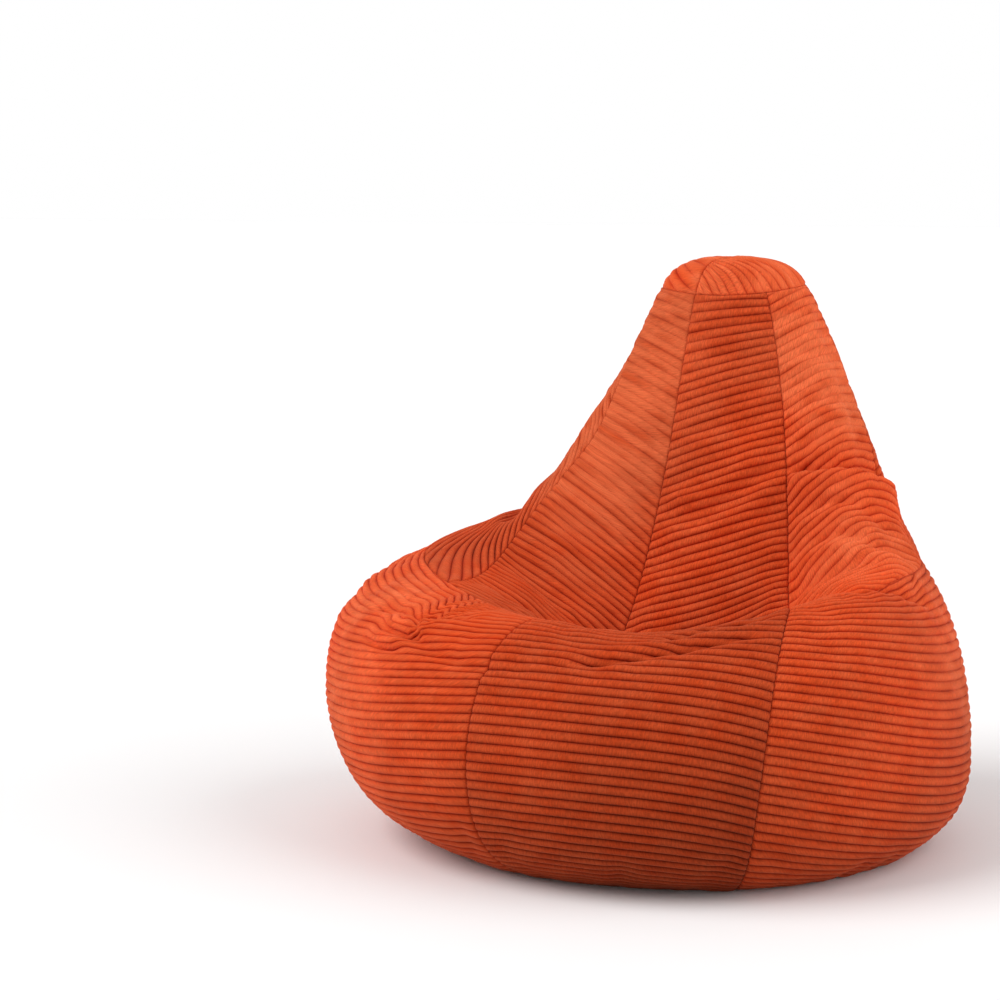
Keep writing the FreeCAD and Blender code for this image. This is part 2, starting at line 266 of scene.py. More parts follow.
class Skin:
    """The bag's outer surface, sampled finely, swollen and creased."""

    ROWS = 901
    AROUND = 1081

    def __init__(self) -> None:
        """Samples the plain skin."""
        self.degrees = np.linspace(START, START + 360.0, self.AROUND)
        self.heights = np.linspace(0.0, 1.0, self.ROWS)
        self.control = np.stack([ring.points(COLUMNS, START) for ring in BODY_RINGS])
        self.points = self.plain(self.heights, self.degrees)
        self.measure()
        self.first_points, self.first_normals = self.points, self.normals
        self.moved = np.zeros(self.points.shape[:2])

    def plain(self, heights: Array, degrees: Array) -> Array:
        """The skin before it is stuffed, at every pair of a height and a direction."""
        up = clamped_basis(len(BODY_RINGS), heights)
        around = closed_basis(COLUMNS, (degrees - START) * COLUMNS / 360.0)
        return np.einsum("si,ijk,tj->stk", up, self.control, around)

    def measure(self) -> None:
        """Works out normals and the lengths along and across from the samples."""
        ring = np.concatenate([self.points[:, -2:-1], self.points, self.points[:, 1:2]], axis=1)
        across = ring[:, 2:] - ring[:, :-2]
        along = np.gradient(self.points, axis=0)
        normal = np.cross(across, along)
        size = np.linalg.norm(normal, axis=2, keepdims=True)
        self.normals = normal / np.maximum(size, 1e-12)
        step = np.linalg.norm(np.diff(self.points, axis=0), axis=2)
        self.up_length = np.concatenate([np.zeros((1, self.AROUND)), np.cumsum(step, axis=0)])
        step = np.linalg.norm(np.diff(self.points, axis=1), axis=2)
        self.round_length = np.concatenate([np.zeros((self.ROWS, 1)), np.cumsum(step, axis=1)], axis=1)

    def look_up(self, values: Array, degrees: Array, heights: Array) -> Array:
        """Reads a sampled field between its samples.

        Args:
            values: (ROWS, AROUND) or (ROWS, AROUND, n) field.
            degrees: directions to read at.
            heights: skin parameters to read at, of the same shape.

        Returns:
            The field's values there.
        """
        x = (np.asarray(degrees) - START) / 360.0
        x = np.where(x < 0.0, x + 1.0, np.where(x > 1.0, x - 1.0, x)) * (self.AROUND - 1)
        y = np.clip(heights, 0.0, 1.0) * (self.ROWS - 1)
        i = np.clip(x.astype(int), 0, self.AROUND - 2)
        j = np.clip(y.astype(int), 0, self.ROWS - 2)
        fx, fy = x - i, y - j
        if values.ndim == 3:
            fx, fy = fx[..., None], fy[..., None]
        low = values[j, i] * (1 - fx) + values[j, i + 1] * fx
        high = values[j + 1, i] * (1 - fx) + values[j + 1, i + 1] * fx
        return low * (1 - fy) + high * fy

    def push(self, amount: Array) -> None:
        """Moves every sample outwards along its normal and measures again."""
        self.moved = self.moved + amount
        self.points = self.points + self.normals * amount[..., None]
        self.points[..., 2] = np.maximum(self.points[..., 2], 0.0)
        self.measure()


# ------------------------------------------------------------------ cutting plan
class Lay(Enum):
    """Which way a panel's wales run."""

    ACROSS = "round the bag"
    ALONG = "up the bag"


@dataclass(frozen=True)
class PanelCut:
    """One sewn panel: which node it stands for, its edges and its wales.

    Left and right are directions in degrees, low and high are rings.  Tilt is
    the wales' slope in degrees from the low edge to the high one.  Sweep adds
    to it from left to right, unless straight lays each wale straight across.
    Tone lightens or darkens the cloth from left to right; it is partly the pile's lay
    and partly painted light and shade, lighter on panels that catch the light, such as the cap,
    and darker on the front of the wrap, which is turned from it.  Brushed is how strongly the brushed places
    show on it.
    """

    node: str
    left: float
    right: float
    low: float
    high: float
    lay: Lay
    tilt: tuple[float, ...]
    sweep: tuple[float, ...] = (0.0, 0.0)
    straight: bool = False
    tone: tuple[float, ...] = (1.0, 1.0)
    brushed: float = 1.0


# painted light and shade: each panel's tone makes its colour lighter or darker as the light falls on it, as
# well as for the pile's lay
UPPER = (
    PanelCut("back_centre_panel", START, 35.0, CROSS_RING, CAP_RING, Lay.ACROSS,
             (28.0, 23.0, 20.0, 17.0, 18.0, 15.0, 1.0), straight=True, tone=(0.93, 0.93), brushed=0.35),
    PanelCut("back_right_panel", 35.0, 98.0, CROSS_RING, CAP_RING, Lay.ACROSS,
             (10.0, 12.0, 13.0, 18.0, 14.0, 12.0, 6.0), straight=True, tone=(1.08, 1.10)),
    PanelCut("side_right_panel", 98.0, 156.0, CROSS_RING, CAP_RING, Lay.ACROSS,
             (8.0, 10.0, 8.0, 5.0, 0.0), tone=(1.0, 0.95)),
    PanelCut("rear_panel", 156.0, 216.0, CROSS_RING, CAP_RING, Lay.ACROSS, (0.0, 0.0), straight=True,
             tone=(1.05, 1.05)),
    PanelCut("side_left_panel", 216.0, LEFT_SEAM, CROSS_RING, CAP_RING, Lay.ACROSS,
             (-30.0, -26.0, -18.0, -8.0, 0.0), tone=(0.90, 0.90)),
    PanelCut("back_left_panel", LEFT_SEAM, START + 360.0, CROSS_RING, CAP_RING, Lay.ACROSS,
             (-4.0, -6.0, -10.0, -16.0, -25.0, -18.0, 1.0), straight=True, tone=(0.91, 0.91)),
)
WRAP = (
    PanelCut("wrap_front", START, 35.0, 0.0, CROSS_RING, Lay.ACROSS, (0.0, 0.0), sweep=(4.0, -4.0, -22.0),
             tone=(0.90, 0.80, 0.73, 0.74), brushed=0.4),
    PanelCut("wrap_right", 35.0, 128.0, 0.0, CROSS_RING, Lay.ACROSS, (-4.0, -4.0), sweep=(-11.0, -3.0, 0.0),
             tone=(0.96, 1.04, 1.04)),
    PanelCut("wrap_rear", 128.0, 232.0, 0.0, CROSS_RING, Lay.ACROSS, (0.0, 0.0)),
    PanelCut("wrap_left", 232.0, START + 360.0, 0.0, CROSS_RING, Lay.ACROSS, (-4.0, -4.0, -6.0),
             sweep=(0.0, 3.0, 10.0, 12.5, 10.0), tone=(1.1, 1.15, 1.15, 0.98)),
)
CAP = (
    PanelCut("cap_right", START, START + 180.0, CAP_RING, TOP_RING, Lay.ALONG, (0.0, 0.0),
             tone=(1.15, 1.15)),
    PanelCut("cap_left", START + 180.0, START + 360.0, CAP_RING, TOP_RING, Lay.ACROSS, (-20.0, -14.0),
             tone=(1.15, 1.15)),
)

FOLDS = (
    # the sharp cross fold and the soft waves of the back right panel
    Fold(((33, 10.1), (56, 9.4), (84, 8.3), (104, 7.6)), 0.009, 0.006, sharp=True, end=0.12, step=0.018),
    Fold(((36, 9.45), (59, 8.7), (78, 7.3), (92, 6.3)), 0.004, 0.011, lip=0.003, step=0.002, reach=0.03),
    Fold(((39, 8.85), (57, 8.15), (71, 6.9), (90, 5.7)), 0.005, 0.011, lip=0.003, step=0.003, reach=0.03),
    # slack above the cross fold
    Fold(((44, 11.9), (62, 11.5), (80, 11.3)), 0.004, 0.012, lip=0.003, end=0.4),
    Fold(((50, 10.9), (66, 10.5), (86, 10.2)), 0.005, 0.012, lip=0.003, end=0.4),
    # a low wave across the centre panel
    Fold(((-21, 9.75), (4, 9.95), (34, 10.35)), 0.005, 0.016, lip=0.005, end=0.2),
    # the top of the wrap folds over under the rim
    Fold(((-12, 3.9), (2, 4.1), (17, 4.35), (34, 4.4)), 0.008, 0.009, lip=0.003, sharp=True, step=-0.004,
         reach=0.03),
    Fold(((-60, 4.2), (-42, 3.9), (-25, 3.75), (-8, 3.85)), 0.006, 0.011, lip=0.002),
    Fold(((6, 4.55), (18, 4.78), (33, 4.85)), 0.006, 0.009, lip=0.002),
    # the left arm folds over the end of the rim and crumples below it
    Fold(((-76, 4.15), (-60, 4.32), (-47, 4.40), (-34, 4.62)), 0.009, 0.007, sharp=True, end=0.2, step=0.008,
         reach=0.03),
    Fold(((-64, 4.05), (-52, 3.98), (-42, 4.02)), 0.009, 0.006, lip=0.005, end=0.35),
    Fold(((-66, 3.82), (-54, 3.72), (-44, 3.78)), 0.008, 0.006, lip=0.004, end=0.35),
    Fold(((-60, 4.5), (-50, 4.2), (-44, 3.9)), 0.007, 0.006, lip=0.003, end=0.35),
    # the crease that runs out at the right arm's end
    Fold(((46, 5.55), (64, 5.3), (78, 4.8), (86, 4.5)), 0.016, 0.011, sharp=True, end=0.2, step=0.004,
         reach=0.03),
    # slack in the rear and side panels
    Fold(((150, 9.0), (170, 8.6), (195, 8.7), (215, 9.0)), 0.010, 0.020, lip=0.004),
    Fold(((160, 6.6), (185, 6.4), (210, 6.7)), 0.007, 0.016, lip=0.003),
    Fold(((232, 7.6), (250, 7.2), (268, 7.0)), 0.010, 0.018, lip=0.004),
    Fold(((108, 6.4), (122, 6.9), (140, 7.1)), 0.009, 0.016, lip=0.004),
    Fold(((235, 4.1), (255, 4.3), (275, 4.0)), 0.007, 0.018, lip=0.003),
    Fold(((150, 3.9), (175, 4.1), (200, 3.9)), 0.007, 0.018, lip=0.003),
)


@dataclass
class Stuffing:
    """Swells the skin between its seams with a cloth simulation."""

    around: int = 168
    rows: int = 120
    pressure: float = 3.2
    slack: float = 0.012
    most_out: float = 0.014
    most_in: float = 0.010
    frames: int = 22

    def seam_weights(self, heights: Array, degrees: Array) -> Array:
        """Pin weight of each point of the coarse grid: 1 on a seam, 0 away from it."""
        weight = np.zeros((len(heights), len(degrees)))
        step_u = degrees[1] - degrees[0]
        step_v = heights[1] - heights[0]
        for cut in (*UPPER, *WRAP, *CAP):
            low, high = height_of(cut.low), height_of(cut.high)
            inside = (heights >= low - step_v / 2) & (heights <= high + step_v / 2)
            gap = np.abs((degrees - cut.left + 180.0) % 360.0 - 180.0)
            weight[np.ix_(inside, gap <= step_u / 2 + 1e-9)] = 1.0
        for ring in (0.0, CROSS_RING, CAP_RING):
            weight[np.abs(heights - height_of(ring)) <= step_v / 2 + 1e-9] = 1.0
        weight[heights > height_of(15.0)] = 1.0
        return weight

    def swell(self, skin: Skin) -> Array:
        """Runs the simulation on a coarse copy of the skin.

        Args:
            skin: the plain skin.

        Returns:
            How far the stuffing pushes each fine sample outwards, in metres.
        """
        heights = np.linspace(0.0, 1.0, self.rows)
        degrees = START + 360.0 * np.arange(self.around) / self.around
        rest = skin.plain(heights, degrees)
        weight = self.seam_weights(heights, degrees)
        moved = self.simulate(rest, weight)
        normals = skin.look_up(skin.normals, *np.meshgrid(degrees, heights))
        amount = np.clip(np.einsum("ijk,ijk->ij", moved - rest, normals), -self.most_in, self.most_out)
        up = clamped_basis(self.rows, skin.heights)
        around = closed_basis(self.around, (skin.degrees - START) * self.around / 360.0)
        return up @ amount @ around.T

    def simulate(self, rest: Array, weight: Array) -> Array:
        """Blows the coarse grid up with Cloth.

        Args:
            rest: (rows, around, 3) starting positions.
            weight: (rows, around) pin weights.

        Returns:
            (rows, around, 3) positions after the last frame.
        """
        mesh = grid_mesh("stuffing", np.concatenate([rest, rest[:, :1]], axis=1))
        count = self.around + 1
        bag = bpy.data.objects.new("stuffing", mesh)
        bpy.context.scene.collection.objects.link(bag)
        bm = bmesh.new()
        bm.from_mesh(mesh)
        tag = bm.verts.layers.int.new("place")
        bm.verts.ensure_lookup_table()
        for vert in bm.verts:
            row, column = divmod(vert.index, count)
            vert[tag] = row * self.around + column % self.around
        bmesh.ops.remove_doubles(bm, verts=bm.verts[:], dist=1e-7)
        bm.to_mesh(mesh)
        bm.free()
        place = np.zeros(len(mesh.vertices), dtype=np.int32)
        mesh.attributes["place"].data.foreach_get("value", place)
        pins = bag.vertex_groups.new(name="seams")
        flat = weight.reshape(-1)
        pins.add([i for i, p in enumerate(place.tolist()) if flat[p] > 0.5], 1.0, "REPLACE")
        cloth = bag.modifiers.new("cloth", "CLOTH")
        settings = cloth.settings
        settings.quality = 5
        settings.mass = 0.4
        settings.tension_stiffness = settings.compression_stiffness = 18.0
        settings.shear_stiffness = 6.0
        settings.bending_stiffness = 0.6
        settings.shrink_min = -self.slack
        settings.use_pressure = True
        settings.uniform_pressure_force = self.pressure
        settings.vertex_group_mass = "seams"
        settings.effector_weights.gravity = 0.0
        cloth.collision_settings.use_collision = False
        scene = bpy.context.scene
        cloth.point_cache.frame_start, cloth.point_cache.frame_end = 1, self.frames
        for number in range(1, self.frames + 1):
            scene.frame_set(number)
        swollen = bag.evaluated_get(bpy.context.evaluated_depsgraph_get())
        found = np.zeros(len(swollen.data.vertices) * 3)
        swollen.data.vertices.foreach_get("co", found)
        scene.frame_set(1)
        moved = rest.copy().reshape(-1, 3)
        moved[place] = found.reshape(-1, 3)
        bpy.data.objects.remove(bag)
        bpy.data.meshes.remove(mesh)
        return moved.reshape(rest.shape)


def grid_mesh(name: str, points: Array, layers: Optional[dict[str, Array]] = None) -> bpy.types.Mesh:
    """A mesh made from a bmesh grid whose points are put in place.

    Args:
        name: the mesh's name.
        points: (rows, columns, 3) positions.
        layers: values per point for named attributes; (rows, columns) or (rows, columns, 3).

    Returns:
        The mesh, with shared places still separate.
    """
    rows, columns = points.shape[:2]
    bm = bmesh.new()
    bmesh.ops.create_grid(bm, x_segments=columns - 1, y_segments=rows - 1, size=1.0)
    mesh = bpy.data.meshes.new(name)
    bm.to_mesh(mesh)
    bm.free()
    start = np.zeros(len(mesh.vertices) * 3)
    mesh.vertices.foreach_get("co", start)
    start = start.reshape(-1, 3)
    column = np.rint((start[:, 0] + 1.0) / 2.0 * (columns - 1)).astype(int)
    row = np.rint((start[:, 1] + 1.0) / 2.0 * (rows - 1)).astype(int)
    mesh.vertices.foreach_set("co", points[row, column].reshape(-1))
    for layer, values in (layers or {}).items():
        kind = "FLOAT_VECTOR" if values.ndim == 3 else "FLOAT"
        attribute = mesh.attributes.new(layer, kind, "POINT")
        key = "vector" if values.ndim == 3 else "value"
        attribute.data.foreach_set(key, values[row, column].reshape(-1).astype(np.float32))
    mesh.update()
    return mesh


def finish_mesh(mesh: bpy.types.Mesh) -> None:
    """Merges shared places, drops flat faces, smooths the shading and adds the cloth's own UV map."""
    bm = bmesh.new()
    bm.from_mesh(mesh)
    bmesh.ops.remove_doubles(bm, verts=bm.verts[:], dist=MERGE_REACH)
    bmesh.ops.dissolve_degenerate(bm, dist=MERGE_REACH / 2, edges=bm.edges[:])
    loose = [v for v in bm.verts if not v.link_faces]
    bmesh.ops.delete(bm, geom=loose, context="VERTS")
    for face in bm.faces:
        face.smooth = True
    weave = bm.verts.layers.float_vector.get("weave")
    if weave is not None:
        uv = bm.loops.layers.uv.new("weave_uv")
        for face in bm.faces:
            for loop in face.loops:
                loop[uv].uv = loop.vert[weave].xy
    bm.to_mesh(mesh)
    bm.free()
    mesh.update()


def new_piece(name: str, mesh: bpy.types.Mesh, body: str,
              nodes: Sequence[str]) -> bpy.types.Object:
    """Puts a finished mesh in the scene and ties it to the frame.

    Args:
        name: the piece's name.
        mesh: its mesh, in place.
        body: the body it rides on.
        nodes: the frame nodes it stands for.

    Returns:
        The piece.
    """
    piece = bpy.data.objects.new(name, mesh)
    bpy.context.scene.collection.objects.link(piece)
    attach(piece, body)
    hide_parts(*nodes)
    LOG.info("%s: %d vertices, %d faces, rides %s", name, len(mesh.vertices), len(mesh.polygons), body)
    return piece


# ------------------------------------------------------------------ corduroy
@dataclass(frozen=True)
class Corduroy:
    """The cloth: wale spacing and relief, and how it turns in at a seam."""

    pitch: float = 0.0142
    relief: float = 0.0046
    sunk: float = 0.0022
    phases: tuple[float, ...] = (0.0, 0.045, 0.13, 0.28, 0.50, 0.72, 0.87, 0.955)
    column: float = 0.009
    edge_steps: tuple[float, ...] = (0.0, 0.0008, 0.002, 0.0038, 0.0062, 0.0098)
    seam_depth: float = 0.0009
    seam_width: float = 0.0045
    round_off: float = 0.0050
    tuck: float = 0.008
    flat_top: float = 2.1
    fullness: float = 0.68
    # painted shade: below shade_top the cloth's colour darkens towards the floor; shade_left sets how much,
    # less on lighter panels
    shade_top: float = 0.34
    shade_left: float = 0.65

    def ridge(self, phase: Array) -> Array:
        """Height of a wale across its width, 0 in the groove and 1 on top."""
        side = np.abs(2.0 * phase - 1.0)
        return np.maximum(0.0, 1.0 - side ** self.flat_top) ** self.fullness

    def rows(self, low: float, high: float) -> Array:
        """Places of the mesh rows from one distance to another, a few on each wale."""
        first, last = math.floor(low / self.pitch), math.ceil(high / self.pitch)
        whole = np.arange(first, last + 1)[:, None] + np.array(self.phases)[None, :]
        whole = whole.reshape(-1) * self.pitch
        inner = whole[(whole > low + 0.0004) & (whole < high - 0.0004)]
        return np.concatenate([[low], inner, [high]])

    def steps(self, width: float) -> Array:
        """Shares of a width for the other direction, closer together near the seams."""
        edges = np.array(self.edge_steps)
        count = max(2, int(round((width - 2 * edges[-1]) / self.column)))
        middle = np.linspace(edges[-1], width - edges[-1], count + 1)
        return np.concatenate([edges[:-1], middle, width - edges[:-1][::-1]]) / width

    def seam_drop(self, gap: Array) -> Array:
        """How far the cloth lies below its own surface near a seam."""
        t = np.clip(gap / self.seam_width, 0.0, 1.0)
        return self.seam_depth * (1.0 - np.sqrt(np.maximum(0.0, 1.0 - (1.0 - t) ** 2)))

    def wale_fade(self, gap: Array) -> Array:
        """How much of the relief is left near a seam."""
        t = np.clip(gap / self.round_off, 0.0, 1.0)
        return np.sqrt(np.maximum(0.0, 1.0 - (1.0 - t) ** 2))


@dataclass(frozen=True)
class NapAndSheen:
    """A place where the pile looks paler: mostly where it is brushed flat, and in one place as painted sheen.
    """

    direction: float
    ring: float
    width: float
    strength: float

    def cover(self, skin: Skin) -> Array:
        """How strongly it shows at each skin sample."""
        centre = skin.look_up(skin.points, np.array([self.direction]), np.array([height_of(self.ring)]))[0]
        gap = np.linalg.norm(skin.points - centre, axis=2) / self.width
        return self.strength * np.exp(-gap ** 2)


NAPS_AND_SHEEN = (
    NapAndSheen(-52, 11.2, 0.12, 1.0),
    NapAndSheen(-66, 9.9, 0.11, 0.9),
    NapAndSheen(-42, 12.4, 0.08, 0.8),
    NapAndSheen(-36, 10.0, 0.07, 0.5),
    NapAndSheen(-46, 8.6, 0.07, 0.5),
    NapAndSheen(60, 11.6, 0.09, 0.9),
    NapAndSheen(76, 10.6, 0.09, 1.0),
    NapAndSheen(52, 12.6, 0.06, 0.6),
    NapAndSheen(190, 9.5, 0.12, 0.5),
    NapAndSheen(-75, 4.6, 0.10, 0.5),
    NapAndSheen(-62, 2.8, 0.13, 0.4),
    NapAndSheen(62, 7.8, 0.10, 0.6),
    # painted sheen: paler pile on the wrap's right edge, where the fuzz catches the light at a grazing angle
    NapAndSheen(102, 2.8, 0.14, 0.6),
    NapAndSheen(10, 15.0, 0.09, 0.6),
    NapAndSheen(86, 4.0, 0.10, 0.4),
)


@dataclass
class Cover:
    """All the corduroy panels of the cover."""

    skin: Skin
    cloth: Corduroy = field(default_factory=Corduroy)
    body: str = "bag"

    def __post_init__(self) -> None:
        """Works out where the pile is brushed, and where sheen is painted in."""
        shape = self.skin.points.shape[:2]
        cover = sum((nap_and_sheen.cover(self.skin) for nap_and_sheen in NAPS_AND_SHEEN), np.zeros(shape))
        ragged = soft_noise(self.skin.points, 0.06, 5) * 0.35 + soft_noise(self.skin.points, 0.02, 9) * 0.2
        self.nap_and_sheen = np.clip(cover * (1.0 + ragged) + 0.12 * ragged, 0.0, 1.0)
        self.wander = soft_noise(self.skin.points, 0.22, 3) * 0.0022

    def places(self, cut: PanelCut) -> tuple[Array, Array, Array]:
        """Lays mesh rows along the wales of one panel.

        Args:
            cut: the panel.

        Returns:
            Directions, heights and distances across the wales, each (rows, columns).
        """
        low, high = height_of(cut.low), height_of(cut.high)
        middle = (cut.left + cut.right) / 2.0
        skin = self.skin
        fine_v = np.linspace(low, high, 500)
        if cut.lay is Lay.ACROSS:
            widest = max(self.width(cut, v) for v in np.linspace(low, high, 9))
            lines = cut.left + self.cloth.steps(widest) * (cut.right - cut.left)
            u, v = np.meshgrid(lines, fine_v)
        else:
            length = skin.look_up(skin.up_length, middle, high) - skin.look_up(skin.up_length, middle, low)
            lines = low + self.cloth.steps(float(length)) * (high - low)
            u, v = np.meshgrid(np.linspace(cut.left, cut.right, 500), lines, indexing="ij")
        along = self.straight_wales(cut, u, v) if cut.straight else self.parallel_wales(cut, u, v)
        along = along + skin.look_up(self.wander, u, v)
        along = np.maximum.accumulate(along, axis=0)
        rows = self.cloth.rows(float(along.min()), float(along.max()))
        grid_u, grid_v, grid_q = [], [], []
        for k in range(along.shape[1]):
            line = along[:, k] + np.arange(len(along)) * 1e-12
            q = np.clip(rows, line[0], line[-1])
            grid_u.append(np.interp(q, line, u[:, k]))
            grid_v.append(np.interp(q, line, v[:, k]))
            grid_q.append(q)
        return np.stack(grid_u, 1), np.stack(grid_v, 1), np.stack(grid_q, 1)

    def parallel_wales(self, cut: PanelCut, u: Array, v: Array) -> Array:
        """Distance across the wales where they run alongside the panel's own middle row."""
        skin = self.skin
        low, high = height_of(cut.low), height_of(cut.high)
        half_way = np.full_like(v, (low + high) / 2)
        up = skin.look_up(skin.up_length, u, v) - skin.look_up(skin.up_length, u, half_way)
        centre = np.full_like(u, (cut.left + cut.right) / 2.0)
        out = skin.look_up(skin.round_length, u, v) - skin.look_up(skin.round_length, centre, v)
        share = (v - low) / (high - low)
        tilt = np.radians(np.interp(share, np.linspace(0.0, 1.0, len(cut.tilt)), cut.tilt))
        if cut.lay is Lay.ALONG:
            return out * np.cos(tilt) + up * np.sin(tilt)
        half = float(np.abs(out).max())
        reach = np.linspace(-half, half, 200)
        slope = np.tan(np.radians(np.interp(reach, np.linspace(-half, half, len(cut.sweep)), cut.sweep)))
        rise = np.concatenate([[0.0], np.cumsum((slope[1:] + slope[:-1]) / 2.0 * np.diff(reach))])
        rise -= np.interp(0.0, reach, rise)
        return up * np.cos(tilt) - out * np.sin(tilt) - np.interp(out, reach, rise)

    def straight_wales(self, cut: PanelCut, u: Array, v: Array) -> Array:
        """Distance across the wales where each one runs straight across the panel."""
        skin = self.skin
        low, high = height_of(cut.low), height_of(cut.high)
        heights = np.linspace(low, high, 160)
        middle = skin.plain(heights, np.array([(cut.left + cut.right) / 2.0]))[:, 0]
        aside = skin.plain(heights, np.array([(cut.left + cut.right) / 2.0 + 0.5]))[:, 0]
        rise = np.gradient(middle, axis=0)
        step = np.linalg.norm(rise, axis=1)
        rise /= step[:, None]
        across = aside - middle
        across -= rise * np.einsum("ij,ij->i", across, rise)[:, None]
        across /= np.linalg.norm(across, axis=1, keepdims=True)
        share = np.linspace(0.0, 1.0, len(heights))
        tilt = np.radians(np.interp(share, np.linspace(0.0, 1.0, len(cut.tilt)), cut.tilt))
        ways = rise * np.cos(tilt)[:, None] - across * np.sin(tilt)[:, None]
        length = np.concatenate([[0.0], np.cumsum((step[1:] + step[:-1]) / 2.0)])
        spots = skin.plain(v[:, 0], u[0])
        place = np.interp(v, heights, length)
        for _ in range(25):
            near = np.clip(place, 0.0, length[-1])
            foot = np.stack([np.interp(near, length, middle[:, k]) for k in range(3)], axis=-1)
            way = np.stack([np.interp(near, length, ways[:, k]) for k in range(3)], axis=-1)
            miss = np.einsum("ijk,ijk->ij", spots - foot, way) - (place - near)
            place = place + 0.6 * miss
        turned = np.concatenate([[0.0], np.cumsum(np.cos((tilt[1:] + tilt[:-1]) / 2.0) * np.diff(length))])
        beyond = place - np.clip(place, 0.0, length[-1])
        return np.interp(place, length, turned) + beyond - turned[-1] / 2.0

    def width(self, cut: PanelCut, height: float) -> float:
        """A panel's width at one height."""
        skin = self.skin
        edges = np.array([cut.left + SEAM_INSET, cut.right - SEAM_INSET])
        ends = skin.look_up(skin.round_length, edges, np.array([height] * 2))
        return float(ends[1] - ends[0])

    def gap_to_seam(self, cut: PanelCut, u: Array, v: Array) -> Array:
        """Distance over the cloth from each place to the panel's nearest seam."""
        skin = self.skin
        low, high = np.full_like(v, height_of(cut.low)), np.full_like(v, height_of(cut.high))
        left, right = np.full_like(u, cut.left + SEAM_INSET), np.full_like(u, cut.right - SEAM_INSET)
        out = skin.look_up(skin.round_length, np.clip(u, cut.left + SEAM_INSET, cut.right - SEAM_INSET), v)
        up = skin.look_up(skin.up_length, u, v)
        gaps = [out - skin.look_up(skin.round_length, left, v),
                skin.look_up(skin.round_length, right, v) - out,
                up - skin.look_up(skin.up_length, u, low)]
        if cut.high < TOP_RING:
            gaps.append(skin.look_up(skin.up_length, u, high) - up)
        return np.maximum(0.0, np.minimum.reduce(gaps))

    def drape(self, cut: PanelCut, u: Array, v: Array, q: Array) -> bpy.types.Object:
        """Builds one panel from the places of its mesh points.

        Args:
            cut: the panel.
            u: directions of the points.
            v: skin heights of the points.
            q: distances across the wales.

        Returns:
            The panel.
        """
        skin, cloth = self.skin, self.cloth
        gap = self.gap_to_seam(cut, u, v)
        out = skin.look_up(skin.round_length, np.clip(u, cut.left + SEAM_INSET, cut.right - SEAM_INSET), v)
        run = out if cut.lay is Lay.ACROSS else skin.look_up(skin.up_length, u, v)
        weave = np.stack([run, q, gap], axis=2)
        streak = soft_noise(weave * (0.22, 1.0, 0.0), 0.011, 17)
        nap_and_sheen = np.clip(skin.look_up(self.nap_and_sheen, u, v) * cut.brushed * (1.0 + 0.5 * streak), 0.0, 1.0)
        phase = np.mod(q / cloth.pitch, 1.0)
        wale = cloth.ridge(phase) * cloth.wale_fade(gap)
        spots, normals = skin.look_up(skin.points, u, v), skin.look_up(skin.normals, u, v)
        ripple = 1.0 + 0.10 * soft_noise(spots, 0.03, 11)
        lift = wale * cloth.relief * (1.0 - 0.45 * nap_and_sheen) * ripple - cloth.sunk - cloth.seam_drop(gap)
        points = spots + normals * lift[..., None]
        # the wale attribute also masks the painted shade in the grooves, which stays where the relief fades
        # at a seam
        wale = np.maximum(wale, 0.9 * cloth.ridge(phase))
        wale = wale + (0.75 - wale) * 0.7 * nap_and_sheen
        # painted shade: the colour darkens towards the floor, most on the darker panels
        floor_shade_fade = np.clip(spots[..., 2] / cloth.shade_top, 0.0, 1.0)
        share = (u - cut.left) / (cut.right - cut.left)
        # painted light and shade: the panel's tone, partly the pile's lay, lightens or darkens its colour
        tone = np.interp(share, np.linspace(0.0, 1.0, len(cut.tone)), cut.tone)
        tone = tone * (1.0 - (1.0 - floor_shade_fade) * (1.0 - cloth.shade_left * tone))
        tone *= 1.0 + 0.06 * soft_noise(spots, 0.12, 23) + 0.05 * streak
        points, normals, weave, wale, nap_and_sheen, tone = (rim(a) for a in (points, normals, weave, wale, nap_and_sheen, tone))
        fringe = np.zeros(points.shape[:2], dtype=bool)
        fringe[[0, -1]] = True
        fringe[:, [0, -1]] = True
        points[fringe] -= normals[fringe] * cloth.tuck
        points[..., 2] = np.maximum(points[..., 2], 0.0006)
        mesh = grid_mesh(cut.node + "_cloth", points,
                         {"weave": weave, "wale": wale, "nap_and_sheen": nap_and_sheen, "tone": tone})
        finish_mesh(mesh)
        piece = new_piece(cut.node + "_cloth", mesh, self.body, [cut.node])
        return piece

    def build(self) -> list[bpy.types.Object]:
        """Builds every panel of the wrap, the back and the cap."""
        return [self.drape(cut, *self.places(cut)) for cut in (*WRAP, *UPPER, *CAP)]


def rim(values: Array) -> Array:
    """Repeats a grid's outermost values once all round."""
    pad = [(1, 1), (1, 1)] + [(0, 0)] * (values.ndim - 2)
    return np.pad(values, pad, mode="edge")


